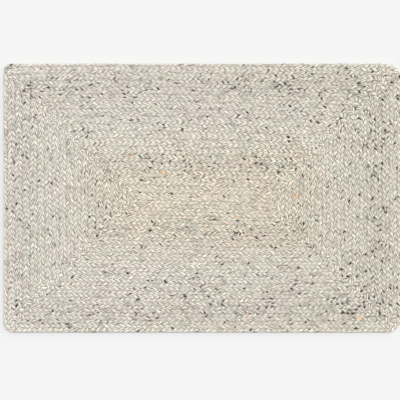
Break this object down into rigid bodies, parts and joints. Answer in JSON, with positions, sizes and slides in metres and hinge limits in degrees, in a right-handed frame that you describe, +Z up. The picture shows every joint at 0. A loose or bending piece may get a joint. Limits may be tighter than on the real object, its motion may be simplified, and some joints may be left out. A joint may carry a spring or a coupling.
{
  "type": "braided doormat",
  "caption": "Flat rectangular doormat made of one thick three-strand braid wound into a rectangle round a short seam, with ribbed rows and small rounded corners.",
  "frame": {"origin": "middle of the flat underside, on the floor", "axes": "+X along the mat's length, +Y across it from front to back, +Z up from the floor"},
  "size_m": [0.8944, 0.6084, 0.0095],
  "materials": {
    "braided_yarn": "matt, heathered yarn, warm off-white and grey"
  },
  "bodies": {
    "root": {"braided_mat": "braided_yarn"}
  },
  "joints": []
}
